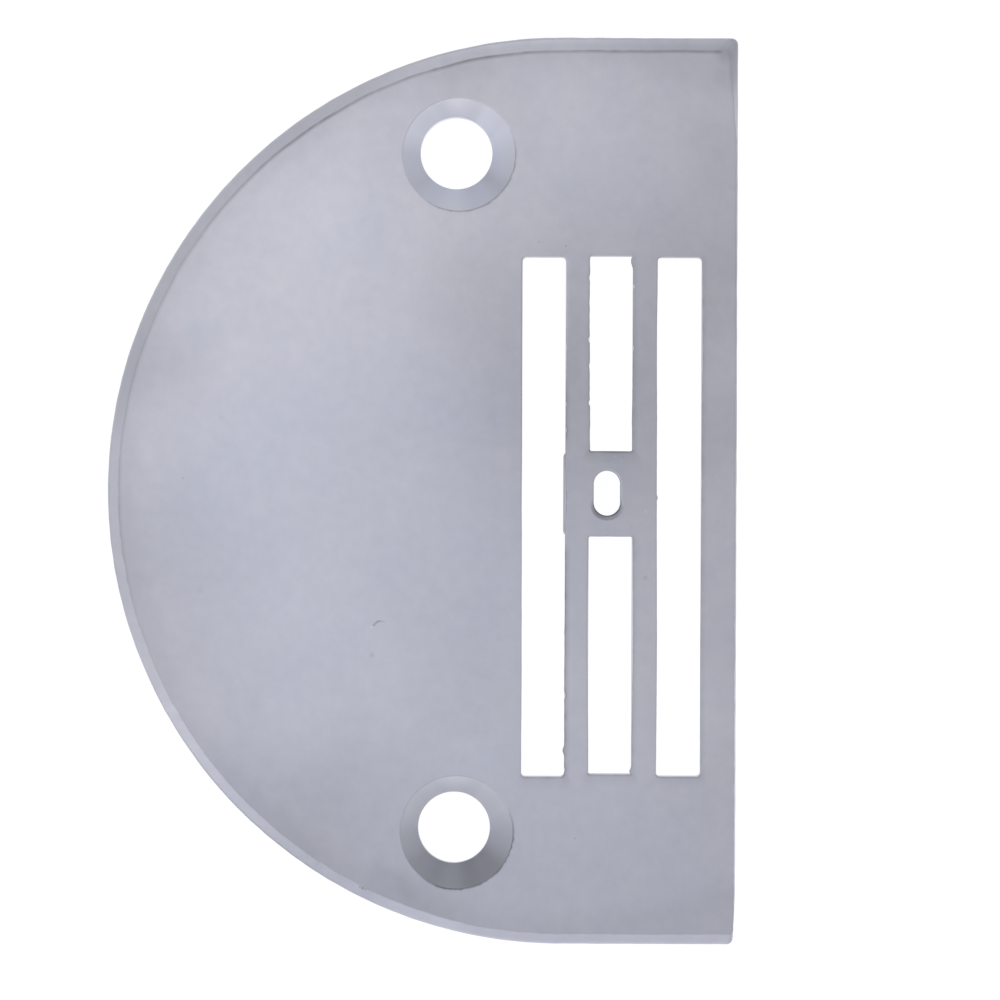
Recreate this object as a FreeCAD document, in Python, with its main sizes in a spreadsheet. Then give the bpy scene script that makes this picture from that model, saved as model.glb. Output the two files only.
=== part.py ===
import FreeCAD, Part
import math
import os
import Sketcher

# Needle plate of a sewing machine: one flat steel plate with a half-round end, a bevelled rim,
# two countersunk screw holes, windows for the feed teeth and a slot for the needle.
# The origin is midway between the two screw holes, on the underside.
# +X points to the straight edge, +Y runs along the windows and +Z is the face the cloth slides on.

# Each row is the name of a size, its value in millimetres or degrees, and what it measures.
SIZE_ROWS = [
    ("plate_length", 66.0, "overall size along Y, twice the radius of the round end"),
    ("plate_width", 45.8, "overall size along X"),
    ("plate_thickness", 3.0, "underside to face"),
    ("edge_reach", 20.5, "line of the screw holes to the straight edge"),
    ("corner_radius", 0.45, "the two corners at the straight edge"),
    ("underside_break", 0.25, "chamfer round the outline, underneath"),
    ("rim_drop", 0.45, "how far the rim bevel falls below the face"),
    ("rim_front", 1.0, "bevel width along the front run, +Y"),
    ("rim_rear", 0.72, "bevel width along the rear run, -Y"),
    ("rim_round", 0.74, "bevel width at the far side of the round end"),
    ("rim_straight", 0.12, "bevel width along the straight edge"),
    ("rim_corner", 0.7, "bevel width at the straight edge, where it turns the front corner"),
    ("rim_fade", 6.5, "length over which that corner bevel dies out"),
    ("face_corner", 0.35, "corner radius of the face inside the bevel"),
    ("hole_pitch", 49.2, "between the two screw holes"),
    ("hole_diameter", 5.24, "screw hole"),
    ("sink_diameter", 8.2, "countersink at the face"),
    ("sink_angle", 90.0, "countersink, full angle"),
    ("sink_shift_x", 0.25, "countersink axis from the hole axis, along X"),
    ("sink_shift_y", -0.28, "countersink axis from the hole axis, along Y"),
    ("edge_strip", 2.625, "straight edge to the outer window"),
    ("outer_window_width", 3.25, "the long window nearest the straight edge"),
    ("outer_rib", 1.78, "between the outer window and the short ones"),
    ("short_window_width", 3.13, "both short windows"),
    ("inner_rib", 1.71, "between the short windows and the inner one"),
    ("inner_window_width", 3.15, "the long window nearest the screw holes"),
    ("window_front", 17.02, "screw centre line to the front end of the long windows"),
    ("window_rear", 20.73, "screw centre line to the rear end of the long windows"),
    ("short_front", 17.1, "screw centre line to the front end of the front short window"),
    ("short_rear", 20.56, "screw centre line to the rear end of the rear short window"),
    ("bridge_front", 2.93, "screw centre line to the front side of the needle bridge"),
    ("bridge_rear", 3.34, "screw centre line to the rear side of the needle bridge"),
    ("window_corner", 0.3, "corner radius of the long windows"),
    ("short_corner", 0.2, "corner radius of the short windows"),
    ("window_break", 0.1, "chamfer round the windows, on the face"),
    ("relief_depth", 1.0, "recess under the windows that clears the feed teeth"),
    ("relief_margin", 1.1, "recess beyond the windows, all round"),
    ("relief_corner", 1.5, "corner radius of that recess"),
    ("bridge_step", 0.4, "face down to the top of the boss under the needle bridge"),
    ("bridge_swell", 0.18, "how far that boss stands into the inner window"),
    ("bridge_corner", 0.15, "corner radius of that boss"),
    ("needle_shift_x", -0.22, "needle slot from the middle of the short windows"),
    ("needle_shift_y", -0.17, "needle slot from the screw centre line"),
    ("needle_width", 1.95, "needle slot across"),
    ("needle_length", 3.26, "needle slot from end to end"),
    ("needle_lip", 0.3, "rounding of the needle slot on the face and underneath"),
]

UNDERSIDE = 0.0
ORIGIN = (-1, 1)
NEAR = 1e-4


class Size:
    """A size as a number, for the first layout, and as the expression that holds it."""

    def __init__(self, text, number):
        self.text = text
        self.number = number

    def __add__(self, other):
        return Size(f"({self.text} + {other.text})", self.number + other.number)

    def __sub__(self, other):
        return Size(f"({self.text} - {other.text})", self.number - other.number)

    def __truediv__(self, count):
        return Size(f"({self.text} / {count})", self.number / count)

    def __neg__(self):
        return Size(f"(-1 * {self.text})", -self.number)


class SizeTable:
    """The sizes of the sheet, each under its own name."""

    def __init__(self, doc):
        sheet = doc.addObject("Spreadsheet::Sheet", "sizes")
        sheet.Label = "sizes"
        for row, (name, number, meaning) in enumerate(SIZE_ROWS, start=1):
            sheet.set(f"A{row}", name)
            sheet.set(f"B{row}", str(number))
            sheet.setAlias(f"B{row}", name)
            sheet.set(f"C{row}", meaning)
            setattr(self, name, Size(f"sizes.{name}", number))
        doc.recompute()


def new_sketch(body, name, role="XY_Plane", across=None, lift=None):
    """A sketch on one of the body's planes, moved along its own X and along its normal."""
    sketch = body.newObject("Sketcher::SketchObject", name)
    plane = next(item for item in body.Origin.OriginFeatures if item.Role == role)
    sketch.AttachmentSupport = [(plane, "")]
    sketch.MapMode = "FlatFace"
    if across:
        sketch.setExpression("AttachmentOffset.Base.x", across.text)
    if lift:
        sketch.setExpression("AttachmentOffset.Base.z", lift.text)
    return sketch


def hold(sketch, name, size, kind, *points):
    """Adds a driving dimension bound to the sheet."""
    index = sketch.addConstraint(Sketcher.Constraint(kind, *points, size.number))
    sketch.renameConstraint(index, name)
    sketch.setExpression(f"Constraints.{name}", size.text)


def hold_y(sketch, name, size, *point):
    """Holds a point in front of the origin, or behind it by a size that is negative."""
    if size.number > 0:
        hold(sketch, name, size, "DistanceY", *ORIGIN, *point)
    else:
        hold(sketch, name, -size, "DistanceY", *point, *ORIGIN)


def hold_angle(sketch, name, size, *lines):
    """Adds a driving angle between two lines, bound to the sheet."""
    index = sketch.addConstraint(Sketcher.Constraint("Angle", *lines, math.radians(size.number)))
    sketch.renameConstraint(index, name)
    sketch.setExpression(f"Constraints.{name}", f"{size.text} * 1 deg")


def add_line(sketch, start, end):
    first = FreeCAD.Vector(start[0], start[1], 0)
    last = FreeCAD.Vector(end[0], end[1], 0)
    return sketch.addGeometry(Part.LineSegment(first, last), False)


def add_arc(sketch, centre, radius, start_deg, end_deg):
    circle = Part.Circle(FreeCAD.Vector(centre[0], centre[1], 0), FreeCAD.Vector(0, 0, 1), radius)
    arc = Part.ArcOfCircle(circle, math.radians(start_deg), math.radians(end_deg))
    return sketch.addGeometry(arc, False)


def join_smoothly(sketch, pieces):
    """Joins the end of each piece to the start of the next one, tangent to it."""
    for piece, following in zip(pieces, pieces[1:]):
        sketch.addConstraint(Sketcher.Constraint("Tangent", piece, 2, following, 1))


def add_window(sketch, name, left, right, rear, front, corner):
    """A rectangle with rounded corners, each side held from the origin."""
    x0, x1 = left.number, right.number
    y0, y1 = rear.number, front.number
    turn = corner.number
    rear_side = add_line(sketch, (x0 + turn, y0), (x1 - turn, y0))
    rear_right = add_arc(sketch, (x1 - turn, y0 + turn), turn, 270, 360)
    right_side = add_line(sketch, (x1, y0 + turn), (x1, y1 - turn))
    front_right = add_arc(sketch, (x1 - turn, y1 - turn), turn, 0, 90)
    front_side = add_line(sketch, (x1 - turn, y1), (x0 + turn, y1))
    front_left = add_arc(sketch, (x0 + turn, y1 - turn), turn, 90, 180)
    left_side = add_line(sketch, (x0, y1 - turn), (x0, y0 + turn))
    rear_left = add_arc(sketch, (x0 + turn, y0 + turn), turn, 180, 270)
    join_smoothly(sketch, [rear_side, rear_right, right_side, front_right, front_side,
                           front_left, left_side, rear_left, rear_side])
    for side in (rear_side, front_side):
        sketch.addConstraint(Sketcher.Constraint("Horizontal", side))
    for side in (left_side, right_side):
        sketch.addConstraint(Sketcher.Constraint("Vertical", side))
    for arc in (front_right, front_left, rear_left):
        sketch.addConstraint(Sketcher.Constraint("Equal", rear_right, arc))
    hold(sketch, f"{name}_corner", corner, "Radius", rear_right)
    hold(sketch, f"{name}_left", left, "DistanceX", *ORIGIN, left_side, 1)
    hold(sketch, f"{name}_right", right, "DistanceX", *ORIGIN, right_side, 1)
    hold_y(sketch, f"{name}_front", front, front_side, 1)
    hold_y(sketch, f"{name}_rear", rear, rear_side, 1)


def add_round_slot(sketch, x, rear, front, width):
    """A slot along Y with round ends, between two levels."""
    radius = width / 2
    low = rear + radius
    high = front - radius
    r, x_mid = radius.number, x.number
    front_end = add_arc(sketch, (x_mid, high.number), r, 0, 180)
    left_side = add_line(sketch, (x_mid - r, high.number), (x_mid - r, low.number))
    rear_end = add_arc(sketch, (x_mid, low.number), r, 180, 360)
    right_side = add_line(sketch, (x_mid + r, low.number), (x_mid + r, high.number))
    join_smoothly(sketch, [front_end, left_side, rear_end, right_side, front_end])
    sketch.addConstraint(Sketcher.Constraint("Vertical", left_side))
    sketch.addConstraint(Sketcher.Constraint("Equal", front_end, rear_end))
    hold(sketch, "radius", radius, "Radius", front_end)
    hold(sketch, "middle", x, "DistanceX", *ORIGIN, front_end, 3)
    hold_y(sketch, "front", high, front_end, 3)
    hold_y(sketch, "rear", low, rear_end, 3)


def add_outline(sketch, left, right, rear, front, corner, fade_from, inset=None):
    """The half-round outline. Its straight edge leans in by the inset towards the front corner."""
    radius = (front - rear) / 2
    centre_x = left + radius
    x1, y0, y1 = right.number, rear.number, front.number
    middle = (centre_x.number, (y0 + y1) / 2)
    turn = corner.number
    bend = fade_from.number
    shift = inset.number if inset else 0.0
    lean = math.degrees(math.atan2(shift, y1 - turn - bend))
    leaning_edge = add_line(sketch, (x1, bend), (x1 - shift, y1 - turn))
    front_corner = add_arc(sketch, (x1 - shift - turn, y1 - turn), turn, lean, 90)
    front_run = add_line(sketch, (x1 - shift - turn, y1), (middle[0], y1))
    round_end = add_arc(sketch, middle, radius.number, 90, 270)
    rear_run = add_line(sketch, (middle[0], y0), (x1 - turn, y0))
    rear_corner = add_arc(sketch, (x1 - turn, y0 + turn), turn, 270, 360)
    straight_edge = add_line(sketch, (x1, y0 + turn), (x1, bend))
    join_smoothly(sketch, [leaning_edge, front_corner, front_run, round_end,
                           rear_run, rear_corner, straight_edge])
    sketch.addConstraint(Sketcher.Constraint("Coincident", straight_edge, 2, leaning_edge, 1))
    sketch.addConstraint(Sketcher.Constraint("Horizontal", front_run))
    sketch.addConstraint(Sketcher.Constraint("Horizontal", rear_run))
    sketch.addConstraint(Sketcher.Constraint("Vertical", straight_edge))
    sketch.addConstraint(Sketcher.Constraint("Equal", front_corner, rear_corner))
    if inset:
        hold(sketch, "inset", inset, "DistanceX", leaning_edge, 2, leaning_edge, 1)
    else:
        sketch.addConstraint(Sketcher.Constraint("Vertical", leaning_edge))
    hold(sketch, "corner", corner, "Radius", front_corner)
    hold(sketch, "round_middle", centre_x, "DistanceX", *ORIGIN, round_end, 3)
    hold(sketch, "right", right, "DistanceX", *ORIGIN, straight_edge, 1)
    hold(sketch, "fade_from", fade_from, "DistanceY", *ORIGIN, straight_edge, 2)
    hold_y(sketch, "front", front, front_run, 1)
    hold_y(sketch, "rear", rear, rear_run, 1)


def add_cone_section(sketch, mouth_radius, half_angle, face_height):
    """Half the section of a countersink, whose axis is the sketch's own Y axis."""
    r, top = mouth_radius.number, face_height.number
    bottom = top - r / math.tan(math.radians(half_angle.number))
    axis = add_line(sketch, (0, bottom), (0, top))
    mouth = add_line(sketch, (0, top), (r, top))
    wall = add_line(sketch, (r, top), (0, bottom))
    for piece, following in ((axis, mouth), (mouth, wall), (wall, axis)):
        sketch.addConstraint(Sketcher.Constraint("Coincident", piece, 2, following, 1))
    sketch.addConstraint(Sketcher.Constraint("Vertical", axis))
    sketch.addConstraint(Sketcher.Constraint("Horizontal", mouth))
    sketch.addConstraint(Sketcher.Constraint("Vertical", *ORIGIN, axis, 1))
    hold(sketch, "mouth_height", face_height, "DistanceY", *ORIGIN, mouth, 1)
    hold(sketch, "mouth_radius", mouth_radius, "DistanceX", mouth, 1, mouth, 2)
    hold_angle(sketch, "half_angle", half_angle, wall, 2, axis, 1)


def add_pad(body, name, sketch, height):
    pad = body.newObject("PartDesign::Pad", name)
    pad.Profile = sketch
    pad.setExpression("Length", height.text)
    return pad


def add_pocket(body, name, sketch, depth=None):
    """Cuts upwards from a sketch on the underside, right through where no depth is given."""
    pocket = body.newObject("PartDesign::Pocket", name)
    pocket.Profile = sketch
    pocket.Reversed = True
    if depth:
        pocket.setExpression("Length", depth.text)
    else:
        pocket.Type = "ThroughAll"
    return pocket


def edge_names(shape, wanted):
    """Names the edges of a shape that are among the wanted ones."""
    return [f"Edge{number}" for number, edge in enumerate(shape.Edges, start=1)
            if any(edge.isSame(other) for other in wanted)]


def level_faces(shape, height):
    """The flat faces of a shape that lie at a height."""
    return [face for face in shape.Faces
            if face.BoundBox.ZLength < NEAR and abs(face.CenterOfMass.z - height) < NEAR]


def outer_edges(shape, height):
    """Names the edges round the outside of the largest face at a height."""
    face = max(level_faces(shape, height), key=lambda face: face.Area)
    return edge_names(shape, face.OuterWire.Edges)


def mouths(shape, height):
    """The wires round the openings in the faces at a height."""
    return [wire for face in level_faces(shape, height) for wire in face.Wires
            if not wire.isSame(face.OuterWire)]


def mouth_at(shape, height, x, y):
    """The smallest opening at a height that lies round a point."""
    around = [wire for wire in mouths(shape, height)
              if wire.BoundBox.XMin < x.number < wire.BoundBox.XMax
              and wire.BoundBox.YMin < y.number < wire.BoundBox.YMax]
    return min(around, key=lambda wire: wire.Length)


def add_edge_feature(body, kind, name, base, edges, size):
    """Breaks named edges of a feature with a chamfer, or rounds them with a fillet."""
    feature = body.newObject(f"PartDesign::{kind}", name)
    feature.Base = (base, edges)
    feature.setExpression("Radius" if kind == "Fillet" else "Size", size.text)
    return feature


def build_blank(doc, body, s):
    """The half-round plate with its ground rim and broken lower edge."""
    half_length = s.plate_length / 2
    left = s.edge_reach - s.plate_width
    shoulder = s.plate_thickness - s.rim_drop
    fade_from = half_length - s.rim_fade
    outline = new_sketch(body, "outline")
    rim_foot = new_sketch(body, "rim_foot", lift=shoulder)
    for sketch in (outline, rim_foot):
        add_outline(sketch, left, s.edge_reach, -half_length, half_length,
                    s.corner_radius, fade_from)
    add_pad(body, "plate", outline, shoulder)

    # The bevel is wider in front than behind, so the face inside it has an outline of its own.
    rim_face = new_sketch(body, "rim_face", lift=s.plate_thickness)
    add_outline(rim_face, left + s.rim_round, s.edge_reach - s.rim_straight,
                s.rim_rear - half_length, half_length - s.rim_front, s.face_corner, fade_from,
                inset=s.rim_corner - s.rim_straight)
    rim = body.newObject("PartDesign::AdditiveLoft", "rim_bevel")
    rim.Profile = rim_foot
    rim.Sections = [rim_face]
    rim.Ruled = True
    doc.recompute()
    add_edge_feature(body, "Chamfer", "lower_break", rim, outer_edges(rim.Shape, UNDERSIDE),
                     s.underside_break)


def build_feed_area(doc, body, s):
    """The windows for the feed teeth, the recess under them and the needle bridge."""
    outer_right = s.edge_reach - s.edge_strip
    outer_left = outer_right - s.outer_window_width
    short_right = outer_left - s.outer_rib
    short_left = short_right - s.short_window_width
    inner_right = short_left - s.inner_rib
    inner_left = inner_right - s.inner_window_width

    relief = new_sketch(body, "feed_relief_outline")
    add_window(relief, "relief", inner_left - s.relief_margin, outer_right + s.relief_margin,
               -(s.window_rear + s.relief_margin), s.window_front + s.relief_margin,
               s.relief_corner)
    add_pocket(body, "feed_relief", relief, s.relief_depth)

    windows = new_sketch(body, "window_outlines")
    add_window(windows, "inner", inner_left, inner_right, -s.window_rear, s.window_front,
               s.window_corner)
    add_window(windows, "outer", outer_left, outer_right, -s.window_rear, s.window_front,
               s.window_corner)
    add_window(windows, "short_front", short_left, short_right, s.bridge_front, s.short_front,
               s.short_corner)
    add_window(windows, "short_rear", short_left, short_right, -s.short_rear, -s.bridge_rear,
               s.short_corner)
    cut = add_pocket(body, "feed_windows", windows)
    doc.recompute()
    rims = [edge for wire in mouths(cut.Shape, s.plate_thickness.number) for edge in wire.Edges]
    add_edge_feature(body, "Chamfer", "window_edge_break", cut, edge_names(cut.Shape, rims),
                     s.window_break)

    # Under the bridge the plate keeps its full thickness, as a boss that also stands
    # a little way into the inner window, just below the face.
    boss = new_sketch(body, "bridge_boss_outline")
    add_window(boss, "boss", inner_right - s.bridge_swell, outer_left,
               -s.bridge_rear, s.bridge_front, s.bridge_corner)
    add_pad(body, "bridge_boss", boss, s.plate_thickness - s.bridge_step)
    return short_right - s.short_window_width / 2


def build_needle_slot(doc, body, s, bridge_middle):
    """The needle's slot, rounded over on both sides so that the thread can't catch."""
    x = bridge_middle + s.needle_shift_x
    sketch = new_sketch(body, "needle_slot_outline")
    add_round_slot(sketch, x, s.needle_shift_y - s.needle_length / 2,
                   s.needle_shift_y + s.needle_length / 2, s.needle_width)
    slot = add_pocket(body, "needle_slot", sketch)
    doc.recompute()
    rims = [edge for height in (UNDERSIDE, s.plate_thickness.number)
            for edge in mouth_at(slot.Shape, height, x, s.needle_shift_y).Edges]
    add_edge_feature(body, "Fillet", "needle_slot_lip", slot, edge_names(slot.Shape, rims),
                     s.needle_lip)


def build_screw_holes(doc, body, s):
    """Two countersunk holes. Each countersink was struck a little off its hole."""
    first_y = -s.hole_pitch / 2
    bore = new_sketch(body, "screw_hole_outline")
    circle = Part.Circle(FreeCAD.Vector(0, first_y.number, 0), FreeCAD.Vector(0, 0, 1),
                         s.hole_diameter.number / 2)
    ring = bore.addGeometry(circle, False)
    bore.addConstraint(Sketcher.Constraint("Vertical", *ORIGIN, ring, 3))
    hold_y(bore, "middle", first_y, ring, 3)
    hold(bore, "diameter", s.hole_diameter, "Diameter", ring)
    hole = add_pocket(body, "screw_hole", bore)

    section = new_sketch(body, "countersink_section", "YZ_Plane",
                         across=first_y + s.sink_shift_y, lift=s.sink_shift_x)
    add_cone_section(section, s.sink_diameter / 2, s.sink_angle / 2, s.plate_thickness)
    sink = body.newObject("PartDesign::Groove", "countersink")
    sink.Profile = section
    sink.ReferenceAxis = (section, ["V_Axis"])
    sink.Angle = 360
    doc.recompute()

    row = body.newObject("PartDesign::LinearPattern", "screw_row")
    row.Originals = [hole, sink]
    row.Direction = (bore, ["V_Axis"])
    row.Occurrences = 2
    row.setExpression("Length", s.hole_pitch.text)
    body.Tip = row


def check(doc, body):
    """Stops where a feature failed or the solid isn't sound."""
    for item in doc.Objects:
        if "Invalid" in item.State or "Error" in item.State:
            raise RuntimeError(f"{item.Label} failed: {item.State}")
    if body.Shape.isNull() or not body.Shape.isValid() or len(body.Shape.Solids) != 1:
        raise RuntimeError(f"{body.Label} isn't one sound solid")


doc = FreeCAD.newDocument("needle_plate")
sizes = SizeTable(doc)
needle_plate = doc.addObject("PartDesign::Body", "needle_plate")
needle_plate.Label = "needle_plate"
build_blank(doc, needle_plate, sizes)
bridge_middle = build_feed_area(doc, needle_plate, sizes)
build_needle_slot(doc, needle_plate, sizes, bridge_middle)
build_screw_holes(doc, needle_plate, sizes)
doc.recompute()
check(doc, needle_plate)
os.makedirs("parts", exist_ok=True)
needle_plate.Shape.exportStep(f"parts/{needle_plate.Label}.step")
print(f"volume {needle_plate.Shape.Volume:.1f} mm3")
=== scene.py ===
"""Looks of a sewing machine needle plate: the steel plate itself and the stage that it is shown on."""

import math
from types import SimpleNamespace

import bmesh
import bpy
from bpy.props import FloatProperty, FloatVectorProperty, PointerProperty
from mathutils import Matrix, Vector, noise


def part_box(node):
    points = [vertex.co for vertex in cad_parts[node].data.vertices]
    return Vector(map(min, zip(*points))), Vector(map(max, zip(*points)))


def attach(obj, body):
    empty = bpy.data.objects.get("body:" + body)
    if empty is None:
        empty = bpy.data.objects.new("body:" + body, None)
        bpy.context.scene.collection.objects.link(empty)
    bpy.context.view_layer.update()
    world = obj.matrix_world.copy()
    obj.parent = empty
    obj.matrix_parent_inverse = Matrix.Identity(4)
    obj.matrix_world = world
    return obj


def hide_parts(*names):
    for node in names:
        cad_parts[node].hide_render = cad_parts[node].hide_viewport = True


bl_info = {
    "name": "Sewing Machine Needle Plate",
    "version": (1, 0, 0),
    "blender": (4, 5, 0),
    "location": "View3D > Sidebar > Needle Plate",
    "description": "Builds a needle plate in satin steel and the stage that it is shown on",
    "category": "Add Mesh",
}

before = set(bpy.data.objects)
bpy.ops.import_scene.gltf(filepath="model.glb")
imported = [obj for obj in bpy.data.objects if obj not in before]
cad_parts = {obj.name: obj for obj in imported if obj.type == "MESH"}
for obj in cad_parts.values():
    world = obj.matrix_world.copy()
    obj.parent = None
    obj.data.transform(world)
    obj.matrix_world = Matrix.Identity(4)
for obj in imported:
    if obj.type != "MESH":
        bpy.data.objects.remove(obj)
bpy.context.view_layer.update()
PLATE_LOW, PLATE_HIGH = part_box("needle_plate")

# Shapes are worked out in millimetres and brought to metres at the end.
MM = 0.001

# The plate's finishes, by their place in its list of materials.
BLASTED = 0
TURNED = 1

# Length of the short edges that rings are cut into (mm).
RIM_SPACING = 0.4
WINDOW_SPACING = 0.1
RELIEF_SPACING = 1.0
BOSS_SPACING = 0.5

# Short edges in a quarter of the round end, round a countersink and round the slot's two ends.
ROUND_END_STEPS = 150
COUNTERSINK_STEPS = 192
SLOT_STEPS = 64

# Edges that turn by more than this are shaded sharp.
SHARP_ANGLE = math.radians(38)

# How far the floor reaches to each side (m).
FLOOR_REACH = 1.5

# The camera's place across and along, and its slight turn, as in the photo.
CAMERA_X = 3.27 * MM
CAMERA_Y = -0.7 * MM
CAMERA_TURN = math.radians(0.22)

# Strength of the white surroundings and of the paper's own white, and the share of it seen.
WORLD_STRENGTH = 0.66
PAPER_STRENGTH = 1.08
PAPER_SHARE = 0.9


def linear(hex_colour):
    """Turns an sRGB hex colour into the linear colour that Blender works in."""
    channels = [int(hex_colour[i : i + 2], 16) / 255 for i in (1, 3, 5)]
    return [c / 12.92 if c <= 0.04045 else ((c + 0.055) / 1.055) ** 2.4 for c in channels]


def length(name, description, default):
    """A size in metres, shown in the sidebar as a length."""
    return FloatProperty(name=name, description=description, default=default * MM,
                         subtype="DISTANCE", unit="LENGTH", precision=5)


def colour(name, description, hex_colour):
    """A colour, shown in the sidebar as a swatch."""
    return FloatVectorProperty(name=name, description=description, default=linear(hex_colour),
                               size=3, min=0.0, max=1.0, subtype="COLOR")


class PlateSizes(bpy.types.PropertyGroup):
    """Sizes of the plate."""

    rim_drop: length("Rim drop", "How far the ground rim falls below the face", 0.45)
    rim_front: length("Front rim", "Width of the rim along the front run", 0.96)
    rim_rear: length("Rear rim", "Width of the rim along the rear run", 0.78)
    rim_round: length("Round rim", "Width of the rim at the far side of the round end", 0.82)
    rim_straight: length("Straight rim", "Width of the rim on the straight edge", 0.12)
    rim_corner: length("Corner rim", "Width of the rim where it turns the front corner", 0.7)
    rim_fade: length("Corner fade", "Length over which that corner dies out", 6.5)
    corner: length("Corner radius", "The two corners of the straight edge", 0.45)
    face_corner: length("Face corner", "The same corners inside the rim", 0.35)
    lower_break: length("Lower break", "Chamfer round the underside", 0.25)
    hole_pitch: length("Hole pitch", "Between the two screw holes", 49.2)
    hole_diameter: length("Hole diameter", "Both screw holes", 5.24)
    sink_diameter: length("Countersink", "Countersinks at the face", 8.18)
    sink_shift_x: length("Countersink shift X", "Countersink off its hole, across", 0.19)
    sink_shift_front: length("Front countersink shift", "Off its hole, along", -0.17)
    sink_shift_rear: length("Rear countersink shift", "Off its hole, along", -0.29)
    inner_left: length("Inner window left", "The long window nearest the screws", 4.87)
    inner_right: length("Inner window right", "The long window nearest the screws", 8.02)
    short_left: length("Short windows left", "Both short windows", 9.76)
    short_right: length("Short windows right", "Both short windows", 12.905)
    outer_left: length("Outer window left", "The long window nearest the edge", 14.67)
    outer_right: length("Outer window right", "The long window nearest the edge", 17.94)
    window_front: length("Window front", "Front end of the long windows", 17.02)
    inner_rear: length("Inner window rear", "Rear end of the inner window", -20.84)
    outer_rear: length("Outer window rear", "Rear end of the outer window", -20.79)
    short_front: length("Short window front", "Front end of the front window", 17.1)
    short_rear: length("Short window rear", "Rear end of the rear window", -20.64)
    bridge_front: length("Bridge front", "Front side of the needle bridge", 2.88)
    bridge_rear: length("Bridge rear", "Rear side of the needle bridge", -3.34)
    window_lip: length("Window lip", "Rounding of the windows' edges", 0.05)
    window_corner: length("Window corner", "Corner radius of the long windows", 0.3)
    short_corner: length("Short window corner", "Corner radius of the short windows", 0.14)
    relief_depth: length("Relief depth", "Recess under the windows", 1.0)
    relief_margin: length("Relief margin", "Recess beyond the windows", 1.1)
    relief_corner: length("Relief corner", "Corner radius of the recess", 1.5)
    bridge_step: length("Bridge step", "Face down to the boss under the bridge", 0.4)
    bridge_swell: length("Bridge swell", "Boss beyond the bridge, into the inner window", 0.13)
    slot_x: length("Slot X", "Middle of the needle slot, across", 11.06)
    slot_y: length("Slot Y", "Middle of the needle slot, along", -0.17)
    slot_width: length("Slot width", "Needle slot across", 1.95)
    slot_length: length("Slot length", "Needle slot from end to end", 3.26)
    slot_lip: length("Slot lip", "Rounding of the needle slot", 0.3)


class PlateFinish(bpy.types.PropertyGroup):
    """Colours and gloss of the steel."""

    steel: colour("Steel", "The bare satin face", "#CACAD4")
    clouds: colour("Clouds", "The slightly darker, bluer clouds of the face", "#C1C3D0")
    cool: colour("Cool steel", "The steel where its cast is bluest", "#C2C6D9")
    # The turned steel's paleness is partly painted light in the cones.
    turned: colour("Turned steel", "The freshly cut countersinks and bores", "#DCDEE8")
    roughness: FloatProperty(name="Roughness", description="Roughness of the satin face",
                             default=0.42, min=0.0, max=1.0, subtype="FACTOR")
    cut_roughness: FloatProperty(name="Cut roughness", description="Roughness of the turned steel",
                                 default=0.38, min=0.0, max=1.0, subtype="FACTOR")


class StageSettings(bpy.types.PropertyGroup):
    """Floor and camera."""

    floor: colour("Floor", "The white paper under the plate", "#F4F4F5")
    camera_height: length("Camera height", "Lens above the plate's face", 412.0)
    frame_width: length("Frame width", "What the picture takes in, at the face", 72.74)


def in_millimetres(group):
    """The sizes of a property group, in millimetres."""
    return SimpleNamespace(**{name: getattr(group, name) / MM
                              for name in type(group).__annotations__})


def make_ring(bm, corners, z, spacing):
    """A ring of short edges through corners, each given as x, y, its radius and its steps."""
    old_edges = set(bm.edges)
    old_faces = set(bm.faces)
    verts = [bm.verts.new((x, y, z)) for x, y, _, _ in corners]
    bm.faces.new(verts)
    for vert, (_, _, radius, steps) in zip(verts, corners):
        bmesh.ops.bevel(bm, geom=[vert], offset=radius, segments=steps, profile=0.5,
                        affect="VERTICES", material=-1)
    sheet = [face for face in bm.faces if face not in old_faces]
    bmesh.ops.delete(bm, geom=sheet, context="FACES_ONLY")
    ring = [edge for edge in bm.edges if edge not in old_edges]
    bmesh.ops.remove_doubles(bm, verts=list(points_of(ring)), dist=0.001)
    for edge in [edge for edge in bm.edges if edge not in old_edges]:
        cuts = round(edge.calc_length() / spacing) - 1
        if cuts > 0:
            bmesh.ops.subdivide_edges(bm, edges=[edge], cuts=cuts)
    return [edge for edge in bm.edges if edge not in old_edges]


def make_box_ring(bm, box, corner, z, spacing):
    """A ring round a box, given as left, right, rear and front, with rounded corners."""
    x0, x1, y0, y1 = box
    corners = [(x, y, corner, 4) for x, y in ((x0, y0), (x1, y0), (x1, y1), (x0, y1))]
    return make_ring(bm, corners, z, spacing)


def make_slot_ring(bm, x, y, radius, z, steps, stretch=0.0):
    """A round ring, or a slot's ring where its two halves are drawn apart along Y."""
    old_edges = set(bm.edges)
    turned = Matrix.Translation((x, y, z)) @ Matrix.Rotation(math.pi / steps, 4, "Z")
    made = bmesh.ops.create_circle(bm, segments=steps, radius=radius, matrix=turned)
    for vert in made["verts"]:
        vert.co.y += math.copysign(stretch / 2, vert.co.y - y)
    drawn = [edge for edge in bm.edges if edge not in old_edges and edge.calc_length() > stretch > 0]
    if drawn:
        bmesh.ops.subdivide_edges(bm, edges=drawn, cuts=7)
    return [edge for edge in bm.edges if edge not in old_edges]


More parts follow.
